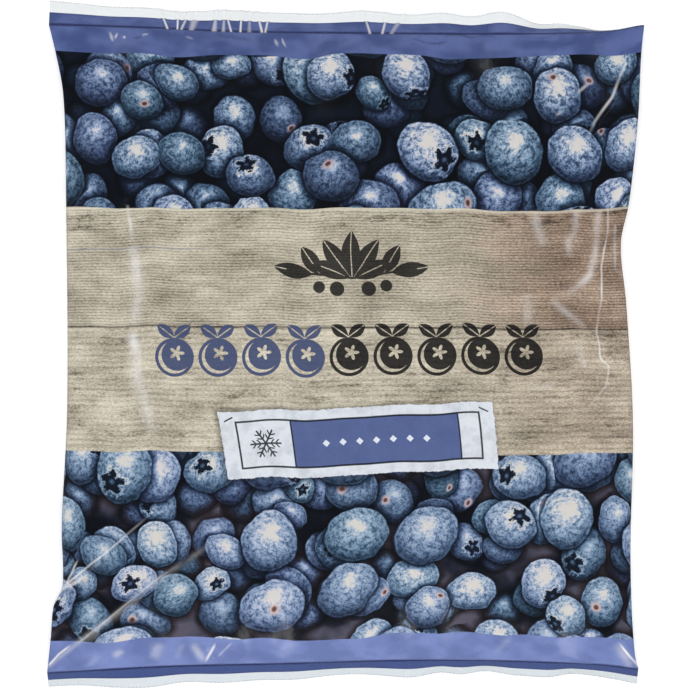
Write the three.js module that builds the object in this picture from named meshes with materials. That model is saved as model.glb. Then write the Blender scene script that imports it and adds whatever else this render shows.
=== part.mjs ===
// A sealed pillow bag of frozen blueberries, lying on its back with the printed front up.
// One film tube, crimped shut at both ends, so the bag and what it holds are one closed solid.
// Millimetres: +X to the bag's right, +Y to its top seal, +Z up, and the table is at z = 0.

import * as THREE from 'three';

// Driving dimensions of the film and the filling
const FLAT_WIDTH = 180;
const HALF_WIDTH = FLAT_WIDTH / 2;
const SEAL_LENGTH = 9;
const SEAL_THICKNESS = 0.8;
const SEAM_HEIGHT = 9.5;
const SIDE_FOLD_RISE = 2;
const FRONT_RISE = 16.8;

// How full the pillow is across and along
const ACROSS_POWER = 2.5;
const ACROSS_ROUND_MIDDLE = 0.58;
const ACROSS_ROUND_END = 0.95;
const ALONG_POWER = 2.9;
const ALONG_ROUND = 0.68;
const TABLE_CONTACT = 1.45;

// Outline of each side as [y, x], drawn in by the filling and pinched once
const LEFT_SIDE = [
  [-98, -90], [-84, -88.5], [-75, -87.6], [-69.5, -85], [-52, -85.2],
  [-16, -83.5], [50, -84], [74, -84.8], [86, -87], [97, -89.8],
];
const RIGHT_SIDE = [
  [-98, 88.8], [-90, 86.6], [-62, 85.3], [-22, 86], [13, 84],
  [31, 82.4], [43, 84.9], [67, 87.6], [86, 88.6], [97, 89.8],
];

// Line of each seam, where the pillow ends and the crimped seal begins, as [x, y]
const TOP_SEAM = [[-89, 96], [-61, 95.1], [-30, 93.8], [37, 93.1], [66, 93.4], [80, 94.2], [89, 95.9]];
const BOTTOM_SEAM = [[-89, -98.1], [-56, -96.3], [-20, -95.4], [30, -94.3], [75, -95.6], [89, -97.2]];
const MIDDLE_LENGTH = 189;

// How far each seal hangs below level, as [x, degrees]
const TOP_SEAL_DROOP = [[-90, 28], [-70, 44], [22, 43], [46, 46], [58, 60], [70, 70], [77, 84], [90, 90]];
const BOTTOM_SEAL_DROOP = [[-90, 58], [-62, 47], [-10, 55], [30, 57], [52, 60], [90, 62]];
const SEAL_RIPPLE = 0.5;

// Folds of the front film: a ridge, or a valley where the height is below zero
const FOLD_WIDTH = 3;
const FOLDS = [
  { from: [-90, -98], to: [-37, -57], height: 1.5 },
  { from: [-85, -71], to: [-58, -46], height: -1.7 },
  { from: [88.5, -97], to: [72, -82], height: 1.1 },
  { from: [83, 30], to: [76, 12], height: -1.5 },
  { from: [84, 86], to: [71, 61], height: 1 },
];

// Soft relief: the berries under the film, and the puckers that run in from the seams
const BERRY_PITCH = 14;
const BERRY_RELIEF = 1;
const BERRY_JITTER = 0.5;
const PUCKER_HEIGHT = 1.1;
const PUCKER_REACH = 24;
const PUCKER_START = 4;

// Lap of the lengthwise back seam, pressed flush with the back between two shallow grooves
const BACK_SEAM_WIDTH = 12;
const BACK_SEAM_SHARE = BACK_SEAM_WIDTH / FLAT_WIDTH;
const GROOVE_DEPTH = 0.5;
const GROOVE_SHARE = 1.16 * BACK_SEAM_SHARE;

// Mesh fineness
const COLUMNS_PER_SIDE = 17;
const BODY_ROWS = 46;
const SEAL_ROWS = 3;

const clamp = THREE.MathUtils.clamp;
const lerp = THREE.MathUtils.lerp;

// Height of a smooth curve through [place, value] pairs
function through(points, place) {
  const last = points.length - 1;
  let k = 0;
  while (k < last - 1 && place > points[k + 1][0]) k += 1;
  const slope = (i) => {
    const before = points[Math.max(i - 1, 0)];
    const after = points[Math.min(i + 1, last)];
    return (after[1] - before[1]) / (after[0] - before[0]);
  };
  const span = points[k + 1][0] - points[k][0];
  const t = clamp((place - points[k][0]) / span, 0, 1);
  const rise = points[k + 1][1] - points[k][1];
  const ease = t * t * (3 - 2 * t);
  const start = t * (1 - t) * (1 - t) * span * slope(k);
  const end = t * t * (t - 1) * span * slope(k + 1);
  return points[k][1] + rise * ease + start + end;
}

// A repeatable number from 0 to 1 for each berry of the lattice
function draw(i, j, salt) {
  const wave = Math.sin(i * 12.9898 + j * 78.233 + salt * 37.719) * 43758.5453;
  return wave - Math.floor(wave);
}

// Relief of the nearest berries, laid out as an uneven triangular lattice
function berryRelief(x, y) {
  const rowStep = BERRY_PITCH * Math.sqrt(3) / 2;
  const row = Math.round(y / rowStep);
  let relief = 0;
  for (let j = row - 2; j <= row + 2; j += 1) {
    const shift = (((j % 2) + 2) % 2) / 2;
    const column = Math.round(x / BERRY_PITCH - shift);
    for (let i = column - 2; i <= column + 2; i += 1) {
      const wobble = BERRY_JITTER * BERRY_PITCH;
      const cx = (i + shift) * BERRY_PITCH + (draw(i, j, 1) - 0.5) * wobble;
      const cy = j * rowStep + (draw(i, j, 2) - 0.5) * wobble;
      const spread = BERRY_PITCH * (0.3 + 0.1 * draw(i, j, 3));
      const apart = ((x - cx) ** 2 + (y - cy) ** 2) / (2 * spread ** 2);
      relief = Math.max(relief, (0.5 + 0.5 * draw(i, j, 4)) * Math.exp(-apart));
    }
  }
  return relief;
}

// Folds side by side along a seam
function puckers(x, phase) {
  const fine = 0.45 * Math.sin(x / 3.1 + 2.3 * phase);
  const middle = 0.8 * Math.sin(x / 5.3 + 1.1 * phase);
  const broad = 0.6 * Math.sin(x / 9.7 + 0.6 * phase);
  return fine + middle + broad;
}

// Height of the long folds, strongest where each one starts
function foldRelief(x, y) {
  let relief = 0;
  for (const { from, to, height } of FOLDS) {
    const run = [to[0] - from[0], to[1] - from[1]];
    const length = Math.hypot(...run);
    const t = clamp(((x - from[0]) * run[0] + (y - from[1]) * run[1]) / length ** 2, 0, 1);
    const apart = Math.hypot(x - from[0] - t * run[0], y - from[1] - t * run[1]);
    relief += height * (1 - t * t) * Math.exp(-((apart / FOLD_WIDTH) ** 2));
  }
  return relief;
}

const topSeamY = (x) => through(TOP_SEAM, x);
const bottomSeamY = (x) => through(BOTTOM_SEAM, x);

function seamHeight(x, end) {
  return SEAM_HEIGHT + 0.7 * Math.sin(x / 21 + end) + 0.35 * Math.sin(x / 8.3 + 2 * end);
}

// x and y of the film at across and along, each from -1 to 1
function planPoint(across, along) {
  const level = along * MIDDLE_LENGTH / 2;
  const x = lerp(through(LEFT_SIDE, level), through(RIGHT_SIDE, level), (across + 1) / 2);
  const y = lerp(bottomSeamY(x), topSeamY(x), (along + 1) / 2);
  return [x, y];
}

// Share of the full depth at a place of the pillow, 0 at its edges and 1 in its middle
function fullness(across, along) {
  const middle = 1 - Math.abs(along) ** 6;
  const rounding = lerp(ACROSS_ROUND_END, ACROSS_ROUND_MIDDLE, middle);
  const crosswise = (1 - Math.abs(across) ** ACROSS_POWER) ** rounding;
  const lengthwise = (1 - Math.abs(along) ** ALONG_POWER) ** ALONG_ROUND;
  return crosswise * lengthwise;
}

// How strongly the folds from one seam show at a distance from it
function puckerShare(distance) {
  return Math.exp(-distance / PUCKER_REACH) * (1 - Math.exp(-distance / PUCKER_START));
}

// Height of the fold line that joins front and back, level with the seams
function foldHeight(x, along) {
  const ends = lerp(seamHeight(x, -1), seamHeight(x, 1), (along + 1) / 2);
  return ends + SIDE_FOLD_RISE * (1 - along ** 2);
}

function frontPoint(across, along) {
  const [x, y] = planPoint(across, along);
  const full = fullness(across, along);
  const fromTop = topSeamY(x) - y;
  const fromBottom = y - bottomSeamY(x);
  const inward = Math.min(1, 6 * (1 - Math.abs(across)));
  const folds = puckers(x, 1) * puckerShare(fromTop) + puckers(x, 2.7) * puckerShare(fromBottom);
  const relief = BERRY_RELIEF * berryRelief(x, y) * full
    + inward * (PUCKER_HEIGHT * folds + foldRelief(x, y) * Math.min(1, 3 * full));
  const z = foldHeight(x, along) + SEAL_THICKNESS / 2 + FRONT_RISE * full + relief;
  return [x, y, z];
}

function backPoint(across, along) {
  const [x, y] = planPoint(across, along);
  const fold = foldHeight(x, along) - SEAL_THICKNESS / 2;
  const sink = Math.min(1, TABLE_CONTACT * fullness(across, along));
  const groove = Math.abs(across) === GROOVE_SHARE ? GROOVE_DEPTH * (1 - along ** 8) : 0;
  return [x, y, fold * (1 - sink) + groove];
}

// A point of an end seal: end is -1 at the bottom and 1 at the top,
// out is 0 at the seam and 1 at the cut, and face is 1 on the front film and -1 on the back film
function sealPoint(across, end, out, face) {
  const [x, seamY] = planPoint(across, end);
  const droop = through(end > 0 ? TOP_SEAL_DROOP : BOTTOM_SEAL_DROOP, x);
  const down = Math.sin(THREE.MathUtils.degToRad(droop));
  const outward = Math.cos(THREE.MathUtils.degToRad(droop));
  const reach = SEAL_LENGTH * out;
  const ripple = SEAL_RIPPLE * out * (Math.sin(x / 6.1 + end) + 0.5 * Math.sin(x / 3.4));
  const proud = ripple + face * SEAL_THICKNESS / 2;
  const y = seamY + end * (reach * outward + proud * down);
  const z = seamHeight(x, end) - reach * down + proud * outward;
  return [x, y, Math.max(z, SEAL_THICKNESS)];
}

// Places across the bag: closer together at the rounded sides and at the edges of the back seam
function columnPlaces() {
  const outside = 2 * GROOVE_SHARE - BACK_SEAM_SHARE;
  const half = [BACK_SEAM_SHARE / 2, BACK_SEAM_SHARE, GROOVE_SHARE, outside];
  for (let k = 1; k <= COLUMNS_PER_SIDE; k += 1) {
    const even = lerp(outside, 1, k / COLUMNS_PER_SIDE);
    half.push(lerp(even, Math.sin(even * Math.PI / 2), 0.6));
  }
  return [...half.map((a) => -a).reverse(), 0, ...half];
}

// Every ring of the closed tube, from the bottom cut to the top cut.
// A ring runs over the front from left to right, then over the back from right to left.
function rings(places) {
  const ring = (front, back) => [...places.map(front), ...[...places].reverse().map(back)];
  const sealRing = (end, out) => ring(
    (across) => sealPoint(across, end, out, 1),
    (across) => sealPoint(across, end, out, -1),
  );
  const all = [];
  for (let k = SEAL_ROWS; k > 0; k -= 1) all.push(sealRing(-1, k / SEAL_ROWS));
  for (let k = 0; k <= BODY_ROWS; k += 1) {
    const even = (2 * k) / BODY_ROWS - 1;
    const along = lerp(even, Math.sin(even * Math.PI / 2), 0.75);
    all.push(ring((across) => frontPoint(across, along), (across) => backPoint(across, along)));
  }
  for (let k = 1; k <= SEAL_ROWS; k += 1) all.push(sealRing(1, k / SEAL_ROWS));
  return all;
}

// Closed surface over the rings, with the two cut edges capped
function bagGeometry() {
  const places = columnPlaces();
  const all = rings(places);
  const around = 2 * places.length;
  const index = [];
  for (let r = 0; r < all.length - 1; r += 1) {
    for (let c = 0; c < around; c += 1) {
      const next = (c + 1) % around;
      const [a, b] = [r * around + c, r * around + next];
      const [d, e] = [a + around, b + around];
      index.push(a, b, e, a, e, d);
    }
  }
  const lastRing = (all.length - 1) * around;
  for (let c = 0; c < places.length - 1; c += 1) {
    const opposite = around - 1 - c;
    index.push(c, opposite, c + 1, c + 1, opposite, opposite - 1);
    index.push(lastRing + c, lastRing + c + 1, lastRing + opposite);
    index.push(lastRing + c + 1, lastRing + opposite - 1, lastRing + opposite);
  }
  const geometry = new THREE.BufferGeometry();
  geometry.setAttribute('position', new THREE.Float32BufferAttribute(all.flat(2), 3));
  geometry.setIndex(index);
  geometry.computeBoundingBox();
  const middle = geometry.boundingBox.getCenter(new THREE.Vector3());
  geometry.translate(-middle.x, -middle.y, 0);
  geometry.computeVertexNormals();
  return geometry;
}

const printedFilm = new THREE.MeshStandardMaterial({ color: 0x59657a, roughness: 0.35, metalness: 0 });
const bag = new THREE.Mesh(bagGeometry(), printedFilm);
bag.name = 'bag';

const model = new THREE.Group();
model.add(bag);

export default model;
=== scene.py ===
"""A sealed pillow bag of frozen blueberries, in printed film, lying on its back."""
from math import pi, radians

import bpy
import numpy as np
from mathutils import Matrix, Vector


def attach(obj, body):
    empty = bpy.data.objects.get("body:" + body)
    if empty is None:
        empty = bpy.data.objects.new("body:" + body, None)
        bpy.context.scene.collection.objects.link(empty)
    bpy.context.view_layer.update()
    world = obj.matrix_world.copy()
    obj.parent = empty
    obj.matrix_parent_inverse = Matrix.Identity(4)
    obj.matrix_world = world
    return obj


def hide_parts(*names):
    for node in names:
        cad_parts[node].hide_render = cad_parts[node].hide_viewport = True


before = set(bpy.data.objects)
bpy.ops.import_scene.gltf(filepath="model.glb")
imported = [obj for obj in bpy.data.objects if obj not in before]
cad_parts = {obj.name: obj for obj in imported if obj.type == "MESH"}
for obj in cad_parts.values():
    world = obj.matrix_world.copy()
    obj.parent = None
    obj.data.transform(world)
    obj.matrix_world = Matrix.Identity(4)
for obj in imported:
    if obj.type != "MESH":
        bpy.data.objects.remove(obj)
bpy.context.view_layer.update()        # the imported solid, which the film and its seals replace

MM = 0.001

# Film and filling, in millimetres, as in the solid
FLAT_WIDTH = 180.0
HALF_WIDTH = FLAT_WIDTH / 2
MIDDLE_LENGTH = 189.0
SEAL_LENGTH = 9.0
SEAM_HEIGHT = 9.5
SIDE_FOLD_RISE = 2.0
FRONT_RISE = 16.8
ACROSS_POWER = 2.5
ACROSS_ROUND_MIDDLE = 0.58
ACROSS_ROUND_END = 0.95
ALONG_POWER = 2.9
ALONG_ROUND = 0.68
ROUND_CHANGE_POWER = 6
TABLE_CONTACT = 1.45
BACK_LIFT = 0.4
FILM_THICKNESS = 0.3

# Outline of each side as (y, x), and each seam as (x, y)
LEFT_SIDE = (
    (-98, -90), (-84, -88.5), (-75, -87.6), (-69.5, -85), (-52, -85.2),
    (-16, -83.5), (50, -84), (74, -84.8), (86, -87), (97, -89.8),
)
RIGHT_SIDE = (
    (-98, 88.8), (-90, 86.6), (-62, 85.3), (-22, 86), (13, 84),
    (31, 82.4), (43, 84.9), (67, 87.6), (86, 88.6), (97, 89.8),
)
TOP_SEAM = ((-89, 96), (-61, 95.1), (-30, 93.8), (37, 93.1), (66, 93.4), (80, 94.2), (89, 95.9))
BOTTOM_SEAM = ((-89, -98.1), (-56, -96.3), (-20, -95.4), (30, -94.3), (75, -95.6), (89, -97.2))

# How far each seal hangs below level, as (x, degrees)
TOP_SEAL_DROOP = (
    (-90, 28), (-70, 44), (22, 43), (46, 46), (58, 60), (70, 70), (77, 84), (90, 90),
)
BOTTOM_SEAL_DROOP = ((-90, 58), (-62, 47), (-10, 55), (30, 57), (52, 60), (90, 62))
SEAL_RIPPLE = 0.5
# How much further out each cut edge waves, as (x, millimetres)
TOP_EDGE_WAVE = (
    (-90, 0.2), (-76, -0.3), (-60, 0.2), (-44, -0.1), (-28, 0.3), (-10, 0.0), (8, 0.2), (22, 0.1),
    (30, 0.3), (38, -0.9), (47, 0.6), (57, -0.3), (64, 0.2), (71, -0.5), (80, 0.0), (90, 0.2),
)
BOTTOM_EDGE_WAVE = (
    (-90, 0.3), (-80, -0.3), (-70, 0.3), (-58, -0.1), (-50, -0.2), (-38, 0.3), (-22, -0.3), (-6, 0.3),
    (6, -0.6), (19, 0.6), (28, -0.6), (35, 0.6), (43, -0.8), (53, 0.0), (61, 0.7), (68, -0.5),
    (79, 0.6), (90, 0.2),
)
SEAM_STEP = 0.35

# Waves along the seams, in the seals and in the film beside the seams, as (height, length, turn)
SEAM_WAVES = ((0.7, 21.0, 1), (0.35, 8.3, 2))
SEAL_WAVES = ((1.0, 6.1, 1), (0.5, 3.4, 0))
PUCKER_WAVES = ((0.45, 3.1, 2.3), (0.8, 5.3, 1.1), (0.6, 9.7, 0.6))
TOP_PHASE = 1.0
BOTTOM_PHASE = 2.7

# Folds and creases of the front film: route in millimetres, height and half width of the fold,
# then how strong the painted highlight along it is, partly whitened film, or the painted shade below 0,
# and half that line's width
CREASES = (
    (((-90, -97), (-79.2, -88.2), (-70.2, -81.6), (-55.6, -69.6), (-44.7, -62.4), (-37.5, -57)),
     0.9, 1.4, 0.27, 1.3),
    (((-89.6, -96.6), (-86, -92.6), (-81.8, -89.4)), 0.3, 0.9, 0.66, 0.5),
    (((-80.5, -89.6), (-69, -80.2), (-58, -71), (-50, -65.4)), 0.0, 1.0, 0.26, 0.45),
    (((-84.5, -72), (-70.2, -60.9), (-65.4, -56.7), (-58.5, -50.7)), 0.8, 1.2, 0.58, 0.55),
    (((-84, -71.6), (-79.8, -63.6)), 0.4, 0.9, 0.6, 0.5),
    (((-85.4, -72.8), (-81, -71.2), (-78.6, -69.4)), 0.4, 1.0, 0.55, 1.2),
    (((-86, -76), (-76, -69)), -1.0, 2.8, -0.25, 1.6),
    (((88.6, -97.2), (80.9, -89.2), (72, -82)), 0.8, 1.7, 0.0, 1.0),
    (((88.8, -97.4), (85.2, -93.6), (81.4, -88.6)), 0.2, 1.0, 0.8, 0.6),
    (((85.6, -97), (83.6, -93.6), (80, -89)), 0.3, 1.8, 0.36, 2.4),
    (((83.5, 31), (76, 12)), -0.9, 2.6, 0.0, 1.0),
    (((84.3, 85.5), (79.5, 74.1), (74.4, 66.9), (71.4, 60.9)), 0.6, 1.2, 0.5, 0.7),
    (((-65.1, 42.4), (-64.2, 36), (-63.3, 28.6)), 0.4, 1.2, 0.5, 0.9),
    (((-63.4, 30), (-62.2, 20), (-61.6, 13), (-63.9, 4.5)), 0.4, 1.5, 0.50, 2.8),
    (((-63.4, 4.2), (-62.4, -4.2), (-61.7, -10.2), (-60.2, -15.6), (-57.4, -28)), 0.4, 1.5, 0.62, 3.0),
    (((78.3, 41.2), (78.3, 33.9), (76.2, 23.7), (76.2, 14.1), (74.7, 4.3), (75.9, -4.1), (78.5, -6.2),
      (77.7, -12), (70.4, -21)), 0.45, 1.0, 0.66, 0.5),
    (((68.5, 40.6), (68.2, 33.9), (66.2, 30.6), (66.8, 25.4)), 0.4, 1.6, 0.5, 1.9),
    (((75.4, 40.2), (74.9, 32.6), (74, 26), (72.6, 20.8), (69.6, 18), (64, 13.8)), 0.5, 1.6, 0.5, 1.9),
    (((60.4, 14), (63.8, 11.1), (67.1, 8.6), (72, 4.6)), 0.4, 1.5, 0.5, 1.6),
    (((55.8, 40), (57.4, 33.6), (59, 28)), 0.3, 1.6, 0.34, 2.6),
    (((53.6, 16), (54.2, 5)), 0.2, 1.6, 0.24, 2.6),
    (((68.2, 0.6), (69.6, -3), (71.8, -7)), 0.3, 1.4, 0.34, 1.8),
    (((54, -12.9), (62.6, -12.2)), 0.3, 1.2, 0.34, 1.0),
    (((80.6, 36.6), (80.4, 29.7), (80.6, 21)), 0.3, 1.2, 0.4, 0.8),
    (((72.9, 78.6), (68.1, 74.4)), 0.4, 1.0, 0.5, 0.8),
    (((64.8, 70.2), (62.4, 68.1)), 0.3, 1.0, 0.4, 0.8),
    (((21, 84.6), (16.8, 79.2)), 0.4, 1.0, 0.3, 0.8),
    (((-42.3, -95.4), (-44.4, -91.8), (-46.4, -88.4)), 0.6, 1.1, 0.42, 1.9),
    (((-42.3, -95.4), (-38.8, -88.6)), 0.6, 1.0, 0.85, 0.7),
    (((-38.6, -93.6), (-37.2, -92.2), (-33.6, -88.6)), 0.5, 1.0, 0.6, 0.6),
    (((-57.6, -94.6), (-55.2, -88.4)), 0.5, 1.4, 0.30, 2.6),
    (((-51, -94), (-48.6, -88.8)), 0.3, 1.4, 0.22, 1.6),
    (((-70, -93.4), (-66.4, -91.2)), 0.4, 1.5, 0.36, 1.8),
    (((-20, -94), (-14, -88)), 0.4, 1.3, 0.12, 1.6),
    (((44, -93), (49, -87)), 0.4, 1.4, 0.12, 1.6),
    (((5, -92.8), (7.4, -92.2), (10.4, -93.4)), -0.3, 1.2, -0.30, 1.3),
    (((12.4, -93), (15.8, -91.4)), -0.3, 1.2, -0.28, 1.4),
    (((37.4, -93.2), (42.4, -91)), -0.3, 1.2, -0.24, 1.4),
    (((-71, 94.2), (-70.2, 92.2), (-69.5, 90.6)), 0.3, 0.8, 0.6, 0.8),
    (((-68.4, 93.8), (-69.3, 91.4)), 0.2, 0.8, 0.45, 0.6),
    (((-66.6, 92.8), (-66.2, 91.6)), 0.2, 0.8, 0.5, 0.6),
    (((-61.4, 93), (-58.8, 93.2)), 0.2, 0.8, 0.4, 0.6),
    (((-48.6, 92.6), (-45.2, 91.6)), 0.2, 0.8, 0.4, 0.7),
    (((-21.6, 91.8), (-20.2, 88.9)), 0.3, 0.8, 0.5, 0.8),
    (((-19.4, 92.2), (-18.9, 90.6), (-17.8, 88.6)), 0.3, 0.8, 0.6, 0.6),
    (((-64, 91.6), (-60.6, 92.4)), -0.2, 0.8, -0.45, 0.7),
    (((-41, 92), (-38, 92.8), (-30, 91.6), (-27, 90)), -0.3, 1.0, -0.35, 1.3),
    (((19.4, 92.2), (21.5, 91.4), (24.6, 90.2), (28.2, 90.3), (31.4, 91.2)), -0.4, 1.0, -0.50, 0.7),
    (((29, 93), (34, 93), (38.1, 92), (43.5, 93.4)), -0.3, 1.0, -0.55, 0.7),
    (((52, 92.6), (58.6, 92), (64, 93)), -0.3, 1.0, -0.45, 0.7),
)
# Pleats across the top seal: x at the seam and at the cut, half width at each, and how strong the painted
# highlight along each is, partly whitened film
PLEATS = (
    (-53.6, -56.2, 0.55, 0.45, 0.75), (-50.6, -50.6, 0.4, 0.4, 0.85), (-49.4, -47.0, 0.6, 0.4, 0.6),
    (-46.4, -44.8, 1.2, 2.6, 0.42), (-39.6, -38.9, 1.2, 0.2, 0.5), (-36.8, -36.6, 0.8, 0.1, 0.45),
    (-34.5, -36.5, 0.5, 0.4, 0.75), (-31.7, -31.4, 0.45, 0.4, 0.85), (-29.0, -29.0, 0.9, 0.2, 0.3),
    (-25.2, -26.9, 0.6, 0.4, 0.8), (-24.2, -23.0, 0.5, 0.4, 0.7),
    (7.2, 5.0, 0.6, 0.4, 0.6), (10.9, 12.6, 0.6, 0.4, 0.65), (13.6, 17.6, 0.9, 1.6, 0.32),
)
PLEAT_HEIGHT = 0.4
PLEAT_WIDTH = 0.55

# A crease's fold fades over its last third, and its line over its last quarter
FOLD_END = 3.0
LINE_END = 4.0
# A crease whose line is thinner than SOFT_WIDTH gets a sharp line, and any other a soft band
SOFT_WIDTH = 1.0
SOFT_STRENGTH = 0.95
SOFT_SPREAD = 0.55
FAR_ASIDE = 9.0
LONG_LINE = 5.0
LINE_TIP = 0.4
LINE_REACH = 1.1
LINE_FADE = 0.6
LINE_WANDER = 0.12
WANDER_SIZE = 5.0
# How unevenly the painted highlights, partly whitened film, and the painted shade lie along a crease
LINE_PATCH_LEVEL = 0.72
LINE_PATCH_CHANGE = 0.5
LINE_PATCH_SIZE = 4.0

# How much further up the violet bands' edges lie for the wrinkles in the film, as (x, millimetres)
TOP_BAND_WAVE = (
    (-87, 1.3), (-70, 0.2), (-54, -1.0), (-38, -0.4), (-25, -0.3), (-12, -0.9), (-4, -0.3),
    (14, 0.4), (24, 0.4), (34, -1.1), (47, 0.6), (60, 0.9), (71, 1.2), (88, 1.0),
)
BOTTOM_BAND_WAVE = (
    (-89, 0.3), (-72, 0.0), (-54, 1.4), (-44, 1.8), (-29, 0.2), (-5, 0.5), (4, 0.5), (22, 2.1),
    (28, 1.6), (36, 1.6), (47, 0.7), (53, 1.0), (60, 0.7), (69, -0.4), (88, -0.4),
)
SHIFT_START = 62.0
SHIFT_REACH = 26.0
SHIFT_END = 8.0

# Berries pressing up under the film, and the puckers that run in from the seams
BERRY_PITCH = 14.0
BERRY_RELIEF = 1.0
BERRY_JITTER = 0.5
BERRY_SPREAD = 0.3
SPREAD_CHANGE = 0.1
PUCKER_HEIGHT = 1.1
PUCKER_REACH = 24.0
PUCKER_START = 4.0
SIDE_FADE = 6.0
SEAM_FADE = 3.0

# Loose waves and wrinkles of the film: height, size, and how much they stretch or slant
SLACK_HEIGHT = 0.35
SLACK_SIZE = 23.0
WRINKLE_HEIGHT = 0.16
WRINKLE_SIZE = 9.0
WRINKLE_SLANT = 0.4
SIDE_WRINKLE = 0.3
SIDE_WRINKLE_SIZE = 5.5
SIDE_STRETCH = 0.3
FINE_WRINKLE = 0.1
FINE_WRINKLE_SIZE = 4.0
FINE_STRETCH = 0.5
BACK_SLACK = 0.3
BACK_SLACK_SIZE = 13.0

# The print, measured along the flat film from the middle of the front
PRINT_UNIT = 100.0
FLAT_SEAM = 101.0
BAND_EDGE = 91.5
PRINT_END = 4.6
WOOD_TOP = 42.5
PLANK_SEAM = 6.1
PLANK_SLOPE = -0.0094
WOOD_BOTTOM = -31.4


# The form of the bag


def lerp(start, end, share):
    return start + (end - start) * share


def eased(share):
    """A share from 0 to 1 that starts and ends gently."""
    return share * share * (3 - 2 * share)


def through(points, place):
    """A smooth curve through (place, value) pairs."""
    xs, ys = np.array(points, float).T
    rises = np.diff(ys) / np.diff(xs)
    slopes = np.concatenate((rises[:1], (ys[2:] - ys[:-2]) / (xs[2:] - xs[:-2]), rises[-1:]))
    k = np.searchsorted(xs[1:-1], place)
    span = xs[k + 1] - xs[k]
    t = np.clip((place - xs[k]) / span, 0, 1)
    start = t * (1 - t) * (1 - t) * span * slopes[k]
    end = t * t * (t - 1) * span * slopes[k + 1]
    return ys[k] + (ys[k + 1] - ys[k]) * eased(t) + start + end


def draw(i, j, salt):
    """A repeatable number from 0 to 1 for each place of a lattice; each use has its own salt."""
    wave = np.sin(i * 12.9898 + j * 78.233 + salt * 37.719) * 43758.5453
    return wave - np.floor(wave)


def lumps(x, y, size, salt):
    """Smooth random hills from -1 to 1, each about size across."""
    i, j = np.floor(x / size), np.floor(y / size)
    s, t = eased(x / size - i), eased(y / size - j)
    low = lerp(draw(i, j, salt), draw(i + 1, j, salt), s)
    high = lerp(draw(i, j + 1, salt), draw(i + 1, j + 1, salt), s)
    return 2 * lerp(low, high, t) - 1


def berry_relief(x, y):
    """Relief of the nearest berries, laid out as an uneven triangular lattice."""
    row_step = BERRY_PITCH * 3 ** 0.5 / 2
    row = np.round(y / row_step)
    wobble = BERRY_JITTER * BERRY_PITCH
    relief = np.zeros_like(x)
    for j in (row + step for step in range(-2, 3)):
        shift = (j % 2) / 2
        column = np.round(x / BERRY_PITCH - shift)
        for i in (column + step for step in range(-2, 3)):
            cx = (i + shift) * BERRY_PITCH + (draw(i, j, 1) - 0.5) * wobble
            cy = j * row_step + (draw(i, j, 2) - 0.5) * wobble
            spread = BERRY_PITCH * (BERRY_SPREAD + SPREAD_CHANGE * draw(i, j, 3))
            apart = ((x - cx) ** 2 + (y - cy) ** 2) / (2 * spread ** 2)
            relief = np.maximum(relief, (0.5 + 0.5 * draw(i, j, 4)) * np.exp(-apart))
    return relief


def waves(x, table, phase, level=0.0):
    """Waves of (height, length, turn) laid over a level."""
    return sum((height * np.sin(x / length + turn * phase) for height, length, turn in table), level)


def pucker_share(distance):
    """How strong the puckers are at a distance from their seam."""
    return np.exp(-distance / PUCKER_REACH) * (1 - np.exp(-distance / PUCKER_START))


def route_distance(x, y, route):
    """How far places lie to either side of a route, and the share of the route gone by there."""
    apart = np.full_like(x, np.inf)
    gone = np.zeros_like(x)
    total = sum(np.hypot(b[0] - a[0], b[1] - a[1]) for a, b in zip(route, route[1:]))
    before = 0.0
    for (ax, ay), (bx, by) in zip(route, route[1:]):
        length = np.hypot(bx - ax, by - ay)
        t = np.clip(((x - ax) * (bx - ax) + (y - ay) * (by - ay)) / length ** 2, 0, 1)
        here = np.hypot(x - ax - t * (bx - ax), y - ay - t * (by - ay))
        nearer = here < abs(apart)
        gone = np.where(nearer, (before + t * length) / total, gone)
        apart = np.where(nearer, np.copysign(here, (bx - ax) * (y - ay) - (by - ay) * (x - ax)), apart)
        before += length
    return apart, gone


def crease_relief(x, y):
    """Height of the long folds and fine creases of the front."""
    relief = np.zeros_like(x)
    for route, height, width, _, _ in CREASES:
        apart, gone = route_distance(x, y, route)
        relief += height * np.clip(FOLD_END * (1 - gone), 0, 1) * np.exp(-((apart / width) ** 2))
    return relief


def nearest_line(lines):
    """Distance in half widths, and strength, of the nearest of (distance, half width, strength)."""
    aside = np.full_like(lines[0][0], FAR_ASIDE)
    mark = np.zeros_like(aside)
    side = 1
    for apart, width, strength in lines:
        strength = strength * np.clip((LINE_REACH + width - abs(apart)) / LINE_FADE, 0, 1)
        nearer = (abs(apart / width) < abs(aside)) & (strength != 0)
        aside = np.where(nearer, side * apart / width, aside)
        mark = np.where(nearer, strength, mark)
        side = -side
    return aside, mark


def crease_lines(x, y):
    """Thin painted highlight lines along the creases of the front, partly whitened film, and soft painted
    highlight bands along the wider ones; below 0 they are painted shade.
    """
    thin = []
    soft = np.zeros_like(x)
    for route, _, _, strength, width in CREASES:
        if strength:
            apart, gone = route_distance(x, y, route)
            reach = np.hypot(*np.subtract(route[-1], route[0]))
            taper = np.clip(4 * gone * (1 - gone) * max(1.0, reach / LONG_LINE), 0, 1)
            patchiness = LINE_PATCH_LEVEL + LINE_PATCH_CHANGE * lumps(x, y, LINE_PATCH_SIZE, 9)
            fade = np.clip(LINE_END * (1 - gone), 0, 1) * taper * patchiness
            if width < SOFT_WIDTH:
                apart = apart + LINE_WANDER * lumps(x, y, WANDER_SIZE, 11)
                thin.append((apart, width * lerp(LINE_TIP, 1, taper), strength * fade))
            else:
                spread = np.exp(-((apart / (SOFT_SPREAD * width)) ** 2))
                band = SOFT_STRENGTH * strength * fade * spread
                soft = np.where(abs(band) > abs(soft), band, soft)
    return (*nearest_line(thin), soft)


def pleat_lines(x, out):
    """Painted highlight lines, partly whitened film, along the pleats of the top seal."""
    return nearest_line([
        (x - lerp(at_seam, at_cut, out), lerp(wide_seam, wide_cut, out), np.full_like(x, shine))
        for at_seam, at_cut, wide_seam, wide_cut, shine in PLEATS
    ])


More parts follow.
